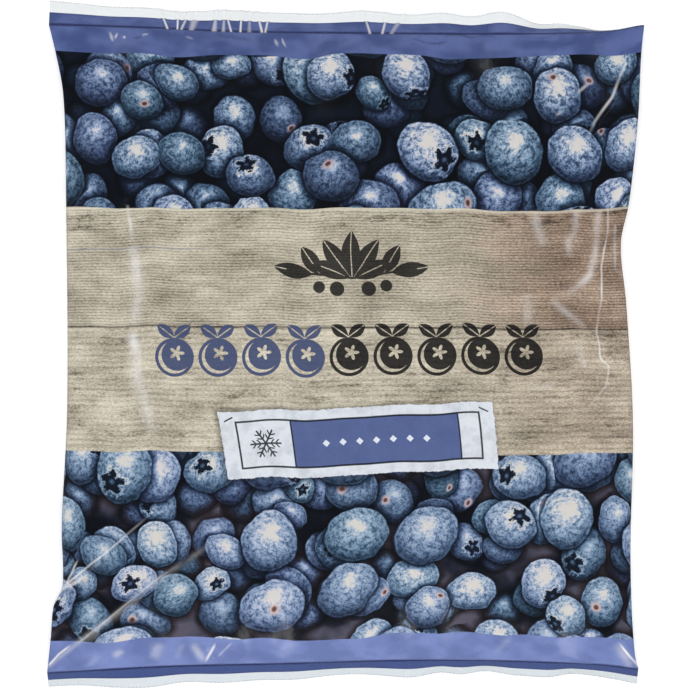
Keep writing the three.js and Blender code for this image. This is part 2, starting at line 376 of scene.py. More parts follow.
def pleats(x, out):
    """Sharp little pleats across the top seal, from 0 to 1."""
    ridge = np.zeros_like(x)
    for at_seam, at_cut, *_ in PLEATS:
        apart = x - lerp(at_seam, at_cut, out)
        ridge = np.maximum(ridge, np.exp(-((apart / PLEAT_WIDTH) ** 2)))
    return ridge


def band_shift(x, v):
    """How far the print is moved up near the end bands."""
    size = abs(v)
    share = np.clip((size - SHIFT_START) / SHIFT_REACH, 0, 1)
    share = share * np.clip((FLAT_SEAM - size) / SHIFT_END, 0, 1)
    wave = np.where(v > 0, through(TOP_BAND_WAVE, x), through(BOTTOM_BAND_WAVE, x))
    return wave * eased(share)


def top_seam_y(x):
    return through(TOP_SEAM, x)


def bottom_seam_y(x):
    return through(BOTTOM_SEAM, x)


def seam_height(x, end):
    return waves(x, SEAM_WAVES, end, SEAM_HEIGHT)


def fold_height(x, along):
    """Height of the fold line that joins front and back, level with the seams."""
    ends = lerp(seam_height(x, -1), seam_height(x, 1), (along + 1) / 2)
    return ends + SIDE_FOLD_RISE * (1 - along ** 2)


def plan_point(across, along):
    """Place seen from above, by shares from -1 to 1 across and along the bag."""
    level = along * MIDDLE_LENGTH / 2
    x = lerp(through(LEFT_SIDE, level), through(RIGHT_SIDE, level), (across + 1) / 2)
    y = lerp(bottom_seam_y(x), top_seam_y(x), (along + 1) / 2)
    return x, y


def fullness(across, along):
    """Share of the full depth, 0 at the pillow's edges and 1 in its middle."""
    middle = 1 - np.abs(along) ** ROUND_CHANGE_POWER
    rounding = lerp(ACROSS_ROUND_END, ACROSS_ROUND_MIDDLE, middle)
    crosswise = np.clip(1 - np.abs(across) ** ACROSS_POWER, 0, 1) ** rounding
    lengthwise = np.clip(1 - np.abs(along) ** ALONG_POWER, 0, 1) ** ALONG_ROUND
    return crosswise * lengthwise


def front_slack(x, y, across):
    """Height of the loose waves and wrinkles of the front film."""
    loose = SLACK_HEIGHT * lumps(x, y, SLACK_SIZE, 5)
    ridges = WRINKLE_HEIGHT * (1 - 2 * np.abs(lumps(x + WRINKLE_SLANT * y, y, WRINKLE_SIZE, 6)))
    side = SIDE_WRINKLE * np.abs(across) ** 3 * lumps(x, SIDE_STRETCH * y, SIDE_WRINKLE_SIZE, 8)
    fine = FINE_WRINKLE * lumps(x, FINE_STRETCH * y, FINE_WRINKLE_SIZE, 10)
    return loose + ridges + side + fine


def front_point(across, along):
    x, y = plan_point(across, along)
    full = fullness(across, along)
    inward = np.minimum(1, SIDE_FADE * (1 - np.abs(across)))
    near_seam = np.minimum(1, SEAM_FADE * full)
    folds = waves(x, PUCKER_WAVES, TOP_PHASE) * pucker_share(top_seam_y(x) - y)
    folds = folds + waves(x, PUCKER_WAVES, BOTTOM_PHASE) * pucker_share(y - bottom_seam_y(x))
    relief = BERRY_RELIEF * berry_relief(x, y) * full + front_slack(x, y, across) * near_seam
    relief = relief + inward * (PUCKER_HEIGHT * folds + crease_relief(x, y) * near_seam)
    z = fold_height(x, along) + FILM_THICKNESS / 2 + FRONT_RISE * full + relief
    return x, y, z


def back_point(across, along):
    x, y = plan_point(across, along)
    sink = np.minimum(1, TABLE_CONTACT * fullness(across, along))
    slack = BACK_SLACK * (1 - sink) * lumps(x, y, BACK_SLACK_SIZE, 7)
    z = (fold_height(x, along) - FILM_THICKNESS / 2) * (1 - sink) + slack
    return x, y, np.maximum(z, BACK_LIFT)


def seal_point(across, end, out):
    """Middle of the seal's two films: end is -1 or 1, and out runs from 0 at the seam to 1."""
    x, seam_y = plan_point(across, np.full_like(across, end))
    droop = np.radians(through(TOP_SEAL_DROOP if end > 0 else BOTTOM_SEAL_DROOP, x))
    reach = SEAL_LENGTH * out
    ripple = SEAL_RIPPLE * out * waves(x, SEAL_WAVES, end)
    wave = out * through(TOP_EDGE_WAVE if end > 0 else BOTTOM_EDGE_WAVE, x)
    if end > 0:
        ripple = ripple + PLEAT_HEIGHT * pleats(x, out)
    y = seam_y + end * (reach * np.cos(droop) + ripple * np.sin(droop) + wave)
    z = seam_height(x, end) - SEAM_STEP - reach * np.sin(droop) + ripple * np.cos(droop)
    return x, y, np.maximum(z, 2 * FILM_THICKNESS)


# Pieces of the bag


SIDE_COLUMNS = 31
BODY_ROWS = 150
COLUMN_CROWDING = 0.6
ROW_CROWDING = 0.75
SEAL_COLUMNS = 460
SEAL_ROWS = 12
SEAL_OVERLAP = 0.03
TOOTH = 1.2
TOOTH_DEPTH = 0.3
TOOTH_ROW = 0.99
LAP_WIDTH = 12.0
LAP_COLUMNS = 8
LAP_REACH = 0.985
LAP_DROP = 0.22
LAP_TILT = 0.1
LAP_FILM = 0.8
DOUBLE = 0.001
MEASURED = 401
OUTLINE_PLACES = 400


def crowded(share, amount):
    """Moves even places from 0 to 1 closer together towards 1."""
    return lerp(share, np.sin(share * pi / 2), amount)


def sheet(name, columns, rows, width, height):
    """A flat sheet of film about the origin, selected in object mode."""
    bpy.ops.object.select_all(action="DESELECT")
    bpy.ops.mesh.primitive_grid_add(x_subdivisions=columns, y_subdivisions=rows, size=1)
    piece = bpy.context.object
    piece.name = piece.data.name = name
    piece.scale = (width, height, 1)
    bpy.ops.object.transform_apply(location=True, rotation=True, scale=True)
    piece.data.uv_layers[0].name = "flat_film"
    return piece


def edit(piece, mode):
    """Enters edit mode with nothing selected."""
    bpy.ops.object.mode_set(mode="EDIT")
    bpy.ops.mesh.select_mode(type=mode)
    bpy.ops.mesh.select_all(action="DESELECT")
    bpy.ops.object.mode_set(mode="OBJECT")


def select(parts, wanted):
    """Selects the vertices, edges or faces that a list of yes and no asks for."""
    parts.foreach_set("select", np.asarray(wanted, bool))


def corners(piece):
    flat = np.empty(3 * len(piece.data.vertices))
    piece.data.vertices.foreach_get("co", flat)
    return flat.reshape(-1, 3)


def move_corners(piece, x, y, z):
    places = np.column_stack((x - middle[0], y - middle[1], z)) * MM
    piece.data.vertices.foreach_set("co", places.ravel())
    piece.data.update()


def lay_print(piece, u, v):
    """Gives each corner of the sheet its place on the flat film, in print units."""
    loops = np.empty(len(piece.data.loops), int)
    piece.data.loops.foreach_get("vertex_index", loops)
    flat = np.column_stack((u[loops], v[loops])) / PRINT_UNIT
    piece.data.uv_layers["flat_film"].data.foreach_set("uv", flat.ravel())


def lay_lines(piece, aside, mark, soft):
    """Stores how far each corner is from the nearest painted highlight or painted shade line, that line's
    strength, and any soft band of painted highlight or shade.
    """
    lines = piece.data.attributes.new("crease", "FLOAT_VECTOR", "POINT")
    values = np.column_stack((aside, mark, soft))
    lines.data.foreach_set("vector", values.astype(np.float32).ravel())


def film_measure(side):
    """Places of a fine grid, measured along the film from fold to fold and from seam to seam."""
    fine = np.sin(np.linspace(-pi / 2, pi / 2, MEASURED))
    across, along = np.meshgrid(fine, fine)
    point = np.stack(side(across, along))
    tables = []
    for axis, limit in ((2, HALF_WIDTH), (1, FLAT_SEAM)):
        steps = np.sqrt((np.diff(point, axis=axis) ** 2).sum(axis=0))
        gone = np.cumsum(steps, axis=axis - 1)
        gone = np.insert(gone, 0, 0, axis=axis - 1)
        whole = gone.take([-1], axis=axis - 1)
        tables.append(limit * (2 * gone / whole - 1))
    return tables


def look_up(table, across, along):
    """Reads a film_measure table between its grid places."""
    def place(value):
        at = (np.arcsin(np.clip(value, -1, 1)) * 2 / pi + 1) / 2 * (MEASURED - 1)
        low = np.minimum(at.astype(int), MEASURED - 2)
        return low, at - low
    i, s = place(across)
    j, t = place(along)
    low = lerp(table[j, i], table[j, i + 1], s)
    high = lerp(table[j + 1, i], table[j + 1, i + 1], s)
    return lerp(low, high, t)


def print_place(across, along, on_front, rounds):
    """Film coordinates of places on the front or round on the back."""
    front_u, front_v = (look_up(t, across, along) for t in FRONT_MEASURE)
    back_u, back_v = (look_up(t, across, along) for t in BACK_MEASURE)
    behind = np.sign(rounds) * 2 * HALF_WIDTH - back_u
    return np.where(on_front, front_u, behind), np.where(on_front, front_v, back_v)


def film_tube():
    """The film from seam to seam: a flat sheet closed round the filling by its back seam."""
    tube = sheet("printed_film", 4 * SIDE_COLUMNS * 2, BODY_ROWS, 4, 2)

    # The front gets twice as many columns and rows, but for the rows next to the seams
    edit(tube, "FACE")
    centres = np.empty(3 * len(tube.data.polygons))
    tube.data.polygons.foreach_get("center", centres)
    centres = centres.reshape(-1, 3)
    row = 2 / BODY_ROWS
    select(tube.data.polygons, (abs(centres[:, 0]) < 1) & (abs(centres[:, 1]) < 1 - row))
    bpy.ops.object.mode_set(mode="EDIT")
    bpy.ops.mesh.subdivide(number_cuts=1)
    bpy.ops.object.mode_set(mode="OBJECT")

    # Film coordinates and the pillow's form
    rounds, along, _ = corners(tube).T
    along = np.sign(along) * crowded(abs(along), ROW_CROWDING)
    on_front = abs(rounds) <= 1
    share = np.where(on_front, abs(rounds), 2 - abs(rounds))
    across = np.sign(rounds) * crowded(share, COLUMN_CROWDING)
    front = front_point(across, along)
    back = back_point(across, along)
    x, y, z = (np.where(on_front, a, b) for a, b in zip(front, back))
    z = np.where(abs(rounds) == 1, fold_height(x, along), z)
    u, v = print_place(across, along, on_front, rounds)
    lay_print(tube, u, v - band_shift(x, v))
    aside, mark, soft = crease_lines(x, y)
    lay_lines(tube, aside, mark * on_front, soft * on_front)
    move_corners(tube, x, y, z)

    # The back seam is closed, and the front and back are joined along each end seam
    bpy.ops.object.mode_set(mode="EDIT")
    bpy.ops.mesh.select_all(action="SELECT")
    bpy.ops.mesh.remove_doubles(threshold=DOUBLE * MM)
    bpy.ops.object.mode_set(mode="OBJECT")
    close_ends(tube)
    return tube


def close_ends(tube):
    """Bridges the front and back film at each end, and fills the two corners."""
    for end in (-1, 1):
        edit(tube, "EDGE")
        mesh = tube.data
        places = corners(tube) / MM
        users = {}
        for face in mesh.polygons:
            for key in face.edge_keys:
                users[key] = users.get(key, 0) + 1
        rim = [e.index for e in mesh.edges if users[e.key] == 1 and places[e.vertices[0], 1] * end > 0]
        on_rim = {v for k in rim for v in mesh.edges[k].vertices}
        tips = {min(on_rim, key=lambda v: places[v, 0]), max(on_rim, key=lambda v: places[v, 0])}
        wanted = np.zeros(len(mesh.edges), bool)
        wanted[[k for k in rim if not tips & set(mesh.edges[k].vertices)]] = True
        select(mesh.edges, wanted)
        bpy.ops.object.mode_set(mode="EDIT")
        bpy.ops.mesh.bridge_edge_loops()
        bpy.ops.mesh.select_all(action="DESELECT")
        bpy.ops.mesh.select_non_manifold(extend=False)
        bpy.ops.mesh.fill_holes(sides=3)
        bpy.ops.object.mode_set(mode="OBJECT")


def end_seal(name, end):
    """One end seal: two films welded flat, cut with a fine zigzag."""
    seal = sheet(name, SEAL_COLUMNS, SEAL_ROWS, 2, 1)
    across, level, _ = corners(seal).T
    out = 0.5 + end * level
    tooth = TOOTH_DEPTH * abs(2 * ((across * HALF_WIDTH / TOOTH) % 1) - 1)
    out = out * (1 - tooth / SEAL_LENGTH * (out > TOOTH_ROW)) - SEAL_OVERLAP * (1 - out)
    lay_print(seal, HALF_WIDTH * across, end * (FLAT_SEAM + SEAL_LENGTH * out))
    x, y, z = seal_point(across, end, out)
    aside, mark = pleat_lines(x, np.clip(out, 0, 1))
    lay_lines(seal, aside, mark * (end > 0), np.zeros_like(mark))
    move_corners(seal, x, y, z)
    thicken(seal, FILM_THICKNESS)
    return seal


def back_lap():
    """The lengthwise seam, folded over flat on the back."""
    lap = sheet("back_seam", LAP_COLUMNS, BODY_ROWS, 2, 2)
    side, along, _ = corners(lap).T
    along = LAP_REACH * crowded(abs(along), ROW_CROWDING) * np.sign(along)
    across = side * LAP_WIDTH / FLAT_WIDTH
    x, y, z = back_point(across, along)
    z = z - LAP_DROP - LAP_TILT * np.maximum(0, side) * (z > BACK_LIFT)
    lay_print(lap, 2 * HALF_WIDTH - across * HALF_WIDTH, look_up(BACK_MEASURE[1], across, along))
    move_corners(lap, x, y, z)
    thicken(lap, FILM_THICKNESS * LAP_FILM)
    return lap


def thicken(piece, thickness):
    """Gives a sheet its wall, half to each side."""
    bpy.ops.object.select_all(action="DESELECT")
    piece.select_set(True)
    bpy.context.view_layer.objects.active = piece
    wall = piece.modifiers.new("wall", "SOLIDIFY")
    wall.thickness = thickness * MM
    wall.offset = 0
    bpy.ops.object.modifier_apply(modifier=wall.name)


# Numbers and places that vary over a surface, worked out by shader nodes


class Field:
    """The output of a shader node, which takes part in sums like a number or a place."""

    def __init__(self, socket):
        self.socket = socket

    def __add__(self, other):
        return reckon("ADD", self, other)

    def __sub__(self, other):
        return reckon("SUBTRACT", self, other)

    def __mul__(self, other):
        return reckon("MULTIPLY", self, other)

    def __truediv__(self, other):
        return reckon("DIVIDE", self, other)

    __radd__ = __add__
    __rmul__ = __mul__


def tree_of(*values):
    return next(v.socket.id_data for v in values if isinstance(v, Field))


def is_place(value):
    return isinstance(value, tuple) or isinstance(value, Field) and value.socket.type != "VALUE"


def plug(tree, socket, value):
    """Links a field to a node's input, or sets the input to a plain value."""
    if isinstance(value, Field):
        tree.links.new(value.socket, socket)
    else:
        socket.default_value = value


def reckon(operation, *values, output=0):
    """The result of a node that reckons with numbers, or with places where any value is one."""
    tree = tree_of(*values)
    places = any(is_place(v) for v in values)
    node = tree.nodes.new("ShaderNodeVectorMath" if places else "ShaderNodeMath")
    node.operation = operation
    for socket, value in zip(node.inputs, values):
        if places and isinstance(value, (int, float)):
            value = (value,) * 3
        plug(tree, socket, value)
    return Field(node.outputs[output])


def fused(value, factor, more):
    """value * factor + more, in one node."""
    return reckon("MULTIPLY_ADD", value, factor, more)


def clip(value):
    """The value held between 0 and 1."""
    result = reckon("ADD", value, 0.0)
    result.socket.node.use_clamp = True
    return result


def step(value, start, end, low=0.0, high=1.0):
    """Goes smoothly from low at start to high at end."""
    tree = tree_of(value, start, end)
    node = tree.nodes.new("ShaderNodeMapRange")
    node.interpolation_type = "SMOOTHSTEP"
    for socket, number in zip(node.inputs, (value, start, end, low, high)):
        plug(tree, socket, number)
    return Field(node.outputs[0])


def fading(value, start, end, full=1.0):
    """Goes smoothly from full at start to 0 at end."""
    return step(value, start, end, full, 0.0)


def mix(low, high, share):
    """Between two numbers, or between two colours."""
    tree = tree_of(low, high, share)
    node = tree.nodes.new("ShaderNodeMix")
    colours = any(is_place(v) for v in (low, high))
    node.data_type = "RGBA" if colours else "FLOAT"
    first = 6 if colours else 2
    plug(tree, node.inputs[0], share)
    plug(tree, node.inputs[first], low)
    plug(tree, node.inputs[first + 1], high)
    return Field(node.outputs[first // 3])


def spot(x, y):
    """A place on the flat film."""
    tree = tree_of(x, y)
    node = tree.nodes.new("ShaderNodeCombineXYZ")
    plug(tree, node.inputs[0], x)
    plug(tree, node.inputs[1], y)
    return Field(node.outputs[0])


def part(place):
    """The x, y and z of a place, or the three random numbers of a cell."""
    tree = tree_of(place)
    node = tree.nodes.new("ShaderNodeSeparateXYZ")
    plug(tree, node.inputs[0], place)
    return tuple(Field(out) for out in node.outputs)


def turned(place, angle):
    """A place turned about the origin."""
    tree = tree_of(place)
    node = tree.nodes.new("ShaderNodeVectorRotate")
    node.rotation_type = "Z_AXIS"
    plug(tree, node.inputs["Vector"], place)
    plug(tree, node.inputs["Angle"], angle)
    return Field(node.outputs[0])


def speckle(place, size, detail=2.0, roughness=0.5):
    """Cloudy noise from 0 to 1, its patches about size across."""
    tree = tree_of(place)
    node = tree.nodes.new("ShaderNodeTexNoise")
    node.noise_dimensions = "2D"
    plug(tree, node.inputs["Vector"], place)
    node.inputs["Scale"].default_value = 1 / size
    node.inputs["Detail"].default_value = detail
    node.inputs["Roughness"].default_value = roughness
    return Field(node.outputs[0])


def ramp(value, stops):
    """Colour for a number from 0 to 1, through (number, colour) stops."""
    tree = tree_of(value)
    node = tree.nodes.new("ShaderNodeValToRGB")
    marks = node.color_ramp.elements
    while len(marks) < len(stops):
        marks.new(0.5)
    for mark, (at, colour) in zip(marks, stops):
        mark.position = at
        mark.color = colour
    plug(tree, node.inputs[0], value)
    return Field(node.outputs[0])


def size_of(value):
    """The value without its sign."""
    return reckon("ABSOLUTE", value)


def length(place):
    return reckon("LENGTH", place, output=1)


def far(place, other):
    return reckon("DISTANCE", place, other, output=1)


def smaller(value, limit):
    return reckon("LESS_THAN", value, limit)


def either(first, second):
    return reckon("MAXIMUM", first, second)


def linear(red, green, blue):
    """A colour given as it shows on a screen, from 0 to 255."""
    def plain(tone):
        share = tone / 255
        return share / 12.92 if share <= 0.04045 else ((share + 0.055) / 1.055) ** 2.4
    return plain(red), plain(green), plain(blue), 1.0


def tinted(tone, tints):
    """Colour of a tone, through (tone, red, green, blue) steps."""
    return ramp(tone, [(at, linear(*colour)) for at, *colour in tints])


def again(chance, turn):
    """One more random number from 0 to 1, made from one that there is."""
    return reckon("FRACT", chance * turn)


# The print on the film


BERRY_LAYERS = (
    # pitch, radius, shift, share of places filled, brightness, softness, and if crowns and scars show
    (16.5, 9.8, (0.2, 0.3, 0.0), 1.0, 0.62, 0.46, False),
    (18.5, 9.9, (7.4, 2.7, 0.0), 1.0, 0.90, 0.12, True),
    (20.0, 10.3, (3.1, 11.2, 0.0), 0.97, 1.02, 0.06, True),
    (23.0, 11.6, (14.3, 0.8, 0.0), 0.88, 1.10, 0.05, True),
)
BERRY_DISORDER = 0.62
BERRY_SMALLEST = 0.76
BERRY_GROWTH = 0.26
BERRY_ROOM = 1.15
BERRY_SQUASH = (1.0, 1.20, 0.0)
FULL_TURN = 6.3

# Rim light and shade about a berry, by squared distance in its radii
BALL_STOPS = 24
BALL_REACH = 1.6
RIM_AT = 0.86
RIM_WIDTH = 0.12
SHADE_START = 0.95
SHADE_REACH = 0.65
SHADE_POWER = 0.7
SHADE_FLOOR = 0.12

# Skin of a berry: its flecks of bloom, the light on it, and the pale glow near its top
SKIN_BULGE = 0.35
SKIN_SHIFT = 40.0
FLECK_NOISE = (0.19, 3.0, 0.90)
FLECK_STRETCH = (1.0, 0.72, 0.0)
BLOOM_RANGE = (0.28, 0.66)
BASE_LIGHT = 0.10
FACING_LIGHT = 0.86
UPPER_LIGHT = 0.36
SKIN_TONE = 0.29
BLOOM_TONE = 0.46
RIM_TONE = 0.28
GLOW_SPOT = (0.04, 0.30, 0.0)
GLOW_RADIUS = 0.52
GLOW_TONE = 0.46
GLOW_ON_BLOOM = -0.14
DIMMEST = 0.76
DIM_RANGE = 0.50

# Crown and stem scar of a berry, in its radii, and how many berries have one
CROWN_CHANCE = 0.24
CROWN_NEAREST = 0.12
CROWN_SPREAD = 0.66
CROWN_TILT = -0.75
CROWN_POINTS = 5.0
POINT_LENGTH = 0.075
CROWN_TEAR = 0.60
CROWN_LEAST = 0.03
CROWN_LIP = 0.18
CROWN_CENTRE = (0.02, 0.14)
HOLE_INNER = 0.03
HOLE_OUTER = 0.02
HOLE_TONE = 0.02
LIP_TONE = 0.30
CENTRE_TONE = 0.5
SCAR_CHANCE = (0.34, 0.08)     # middle and half width of the chances that give a scar
SCAR_RING = (0.10, 0.27)
SCAR_PIT = (0.05, 0.13)
RING_TONE = 0.74
RING_BROWN = 0.55
PIT_TONE = 0.20
PIT_BROWN = 0.4

# Painted light: the lower berries are painted brighter, their paler, browner gaps a painted reflection of
# the film's gloss, and the upper ones painted darker in their mid-tones; the two give way between these
# levels of the film
LOW_BERRIES = (-50.0, 40.0)
LOW_GLARE_BROWN = 0.44
LOW_PAINTED_LIGHT = 1.2
TOP_PAINTED_SHADE = (0.62, 0.60)    # for a dark tone, and how much more for a pale one
HAZE_NOISE = (22.0, 3.0)
HAZE_SHIFT = (300.0, 0.0, 0.0)
HAZE_RANGE = (0.36, 0.64)
HAZE_DARKEST = 0.02
HAZE_PALEST = (0.08, 0.20)     # at the top, and how much more below
BROWN_RANGE = (0.36, 0.6)
WARP_NOISE = (6.0, 1.0)
WARP = (1.6, -1.4)
MIDDLE_HUE = 0.5

TEAL_TONES = (
    (0.00, 4, 7, 12), (0.14, 19, 32, 46), (0.32, 55, 80, 104),
    (0.54, 106, 134, 158), (0.80, 160, 180, 200), (1.00, 208, 205, 199),
)
VIOLET_TONES = (
    (0.00, 6, 8, 15), (0.14, 24, 31, 52), (0.32, 62, 78, 112),
    (0.54, 114, 133, 168), (0.80, 166, 180, 206), (1.00, 210, 205, 203),
)
DRIED_TONES = ((0.0, 16, 13, 15), (0.3, 92, 70, 62), (0.6, 170, 106, 80), (1.0, 216, 184, 172))


def ball_profile(out):
    """How far a ball faces up, its rim light, and how clear of its shade a place is."""
    stops = []
    for k in range(BALL_STOPS + 1):
        squared = BALL_REACH * k / BALL_STOPS
        facing = max(0.0, 1 - squared) ** 0.5
        rim = max(0.0, 1 - abs(squared - RIM_AT) / RIM_WIDTH)
        clear = min(1.0, max(0.0, (squared - SHADE_START) / SHADE_REACH))
        stops.append((squared / BALL_REACH, (facing, rim, clear ** SHADE_POWER, 1.0)))
    return part(ramp(out / BALL_REACH, stops))


def berry_cell(place, pitch, shift):
    """Place from the middle of a layer's nearest berry, its random numbers, and the room that it has."""
    at = fused(place, 1 / pitch, shift)
    tree = tree_of(at)
    cells, room = (tree.nodes.new("ShaderNodeTexVoronoi") for _ in range(2))
    room.feature = "N_SPHERE_RADIUS"
    for node in (cells, room):
        node.voronoi_dimensions = "2D"
        node.inputs["Scale"].default_value = 1.0
        node.inputs["Randomness"].default_value = BERRY_DISORDER
        plug(tree, node.inputs["Vector"], at)
    middle_of, colour, radius = cells.outputs["Position"], cells.outputs["Color"], room.outputs["Radius"]
    return at - Field(middle_of), Field(colour), Field(radius)


def crown_or_scar(tone, brown, side, chance, flecks):
    """The dark torn star of a berry's crown on some, and the small brown ring of its stem on others."""
    away = CROWN_NEAREST + CROWN_SPREAD * again(chance[0], 17.0)
    x, y, _ = part(turned(side, chance[1] * 60.0))
    x = (x - away) / fused(away * away, CROWN_TILT, 1.0)
    out = length(spot(x, y))
    points = reckon("COSINE", fused(reckon("ARCTAN2", y, x), CROWN_POINTS, chance[0] * 30.0))
    edge = fused(points, POINT_LENGTH, fused(flecks, CROWN_TEAR, CROWN_LEAST))
    crowned = smaller(chance[2], CROWN_CHANCE)
    hole = fading(out, edge - HOLE_INNER, edge + HOLE_OUTER) * crowned
    lip = fading(out, edge, edge + CROWN_LIP) * crowned
    centre = fading(out, *CROWN_CENTRE) * crowned
    scarred = smaller(size_of(chance[2] - SCAR_CHANCE[0]), SCAR_CHANCE[1])
    ring = fading(out, *SCAR_RING) * scarred
    pit = fading(out, *SCAR_PIT) * scarred
    tone = fused(lip, LIP_TONE, tone)
    tone = mix(tone, HOLE_TONE, hole * 0.94)
    tone = fused(centre, flecks * CENTRE_TONE, tone)
    tone = mix(tone, mix(RING_TONE, PIT_TONE, pit), ring * 0.9)
    return tone, fused(ring, RING_BROWN + PIT_BROWN * pit, brown)


def berry_layer(under, place, layer):
    """Lays one layer of berries over the tone, brown and hue of those under it."""
    tone_under, brown_under, hue_under = under
    pitch, radius, shift, filled, bright, soft, detailed = layer
    away, colour, room = berry_cell(place, pitch, shift)
    chance = part(colour)
    size = radius / pitch
    reach = fused(chance[0], BERRY_GROWTH * size, BERRY_SMALLEST * size)
    side = away / reckon("MINIMUM", reach, room * BERRY_ROOM)
    ball = turned(side, chance[1] * FULL_TURN) * BERRY_SQUASH
    out = reckon("DOT_PRODUCT", ball, ball, output=1)
    facing, rim, clear = ball_profile(out)
    here = smaller(chance[2], filled)
    inside = fading(out, 1 - 2 * soft, 1.0) * here

    skin = fused(ball, fused(out, SKIN_BULGE, 1.0), colour * SKIN_SHIFT)
    flecks = speckle(skin * FLECK_STRETCH, *FLECK_NOISE)
    bloom = step(flecks, *BLOOM_RANGE)
    up = part(side)[1]
    light = clip(fused(facing, FACING_LIGHT, fused(up, UPPER_LIGHT, BASE_LIGHT)))
    glow = fading(far(side, GLOW_SPOT), 0.0, GLOW_RADIUS)
    tone = light * fused(bloom, BLOOM_TONE, SKIN_TONE)
    tone = fused(glow * glow, fused(bloom, GLOW_ON_BLOOM, GLOW_TONE), tone)
    tone = fused(rim, flecks * RIM_TONE, tone)
    tone = tone * fused(again(chance[0], 7.0), DIM_RANGE * bright, DIMMEST * bright)
    brown = 0.0
    if detailed:
        tone, brown = crown_or_scar(tone, brown, side, chance, flecks)
    shade = mix(1.0, fused(clear, 1 - SHADE_FLOOR, SHADE_FLOOR), here)
    return (
        mix(tone_under * shade, tone, inside),
        mix(brown_under, brown, inside),
        mix(hue_under, again(chance[1], 9.0), inside),
    )


def printed_berries(place):
    """The printed heap of berries, dark between them, painted brighter below with a painted reflection in
    the lower gaps, and painted darker above.
    """
    warp = speckle(place, *WARP_NOISE)
    place = place + spot(warp * WARP[0], warp * WARP[1])
    below = fading(part(place)[1], *LOW_BERRIES)
    haze = speckle(place + HAZE_SHIFT, *HAZE_NOISE)
    # The gaps' tone, paler and browner below as a painted reflection of the film's gloss
    dim = step(haze, *HAZE_RANGE, HAZE_DARKEST, fused(below, HAZE_PALEST[1], HAZE_PALEST[0]))
    under = (dim, step(haze, *BROWN_RANGE, 0.0, LOW_GLARE_BROWN) * below, MIDDLE_HUE)
    for layer in BERRY_LAYERS:
        under = berry_layer(under, place, layer)
    tone, brown, hue = under
    # Painted light: mid-tones painted darker at the top, and every tone painted brighter below
    tone = tone * mix(fused(tone, TOP_PAINTED_SHADE[1], TOP_PAINTED_SHADE[0]), LOW_PAINTED_LIGHT, below)
    fresh = mix(tinted(tone, TEAL_TONES), tinted(tone, VIOLET_TONES), hue)
    return mix(fresh, tinted(tone, DRIED_TONES), clip(brown))


# The planks: the top edge rises by EDGE_RISE at both sides, and the bottom one drops at the right
RIB_PITCH = 0.88
WAVE_PITCH = 1.75
EDGE_RISE = 1.5
RISING = (60.0, 90.0)
EDGE_DROP = 1.9
DROPPING = (-30.0, 50.0)
EDGE_INSET = 0.45
SEAM_BLEND = 0.15
PENCIL_LINE = 29.8
PENCIL_END = (-52.0, -36.0)
CRACK_OFFSET = 0.25
TAN_SIDE = (42.0, 98.0)
TAN_WANDER = 50.0
TAN_LOSS = -0.50

# Patches of the wood: how the film is stretched under each kind, then size, detail and roughness
STAIN_STRETCH = (1.0, 2.0, 0.0)
STAIN_NOISE = (20.0, 3.0, 0.6)
STREAK_STRETCH = (0.05, 1.0, 0.0)
STREAK_NOISE = (0.9, 4.0, 0.75)
SPECK_STRETCH = (0.42, 1.0, 0.0)
SPECK_NOISE = (0.40, 2.0, 0.8)
BLOT_STRETCH = (0.25, 1.0, 0.0)
BLOT_NOISE = (3.6, 5.0, 0.85)
BLOT_SHIFT = (40.0, 9.0, 0.0)
BEND_STRETCH = (0.012, 0.08, 0.0)
BEND_NOISE = (1.0, 1.0)
RIB_BEND = 1.2
WAVE_BEND = 3.0

# How much each kind of grain counts; a pair is for both planks, and what the lower one adds
STREAKS = 0.46
STAINS = (0.80, 0.16)
COMMON_LEVEL = (-0.29, -0.08)
UPPER_GRAIN = {"ribs": 0.31, "specks": 0.95, "level": -0.485, "blots": (0.50, 0.66, 0.0, 0.36)}
LOWER_GRAIN = {"ribs": 0.17, "specks": 1.05, "level": -0.39, "blots": (0.52, 0.72, 0.0, 0.34)}
BLOTS_FROM = 33.0
BLOTS_BELOW = 0.20

GREY_TONES = ((0.0, 78, 74, 66), (0.3, 144, 136, 120), (0.6, 188, 180, 162), (1.0, 228, 221, 202))
TAN_TONES = ((0.0, 54, 45, 41), (0.3, 102, 84, 71), (0.6, 150, 129, 112), (1.0, 208, 190, 170))
PENCIL_COLOUR = linear(128, 130, 146)
CRACK_COLOUR = linear(52, 46, 40)
EDGE_COLOUR = linear(222, 216, 198)


def ribs(v, pitch, bend):
    """Even ribs that run across the film: broad and pale at 1, with narrow gaps at 0."""
    return size_of(reckon("SINE", fused(v, pi / pitch, bend)))


def plank(grain, across, specks):
    """Tone of one plank's ribs and specks."""
    return fused(across, grain["ribs"], fused(specks, grain["specks"], grain["level"]))


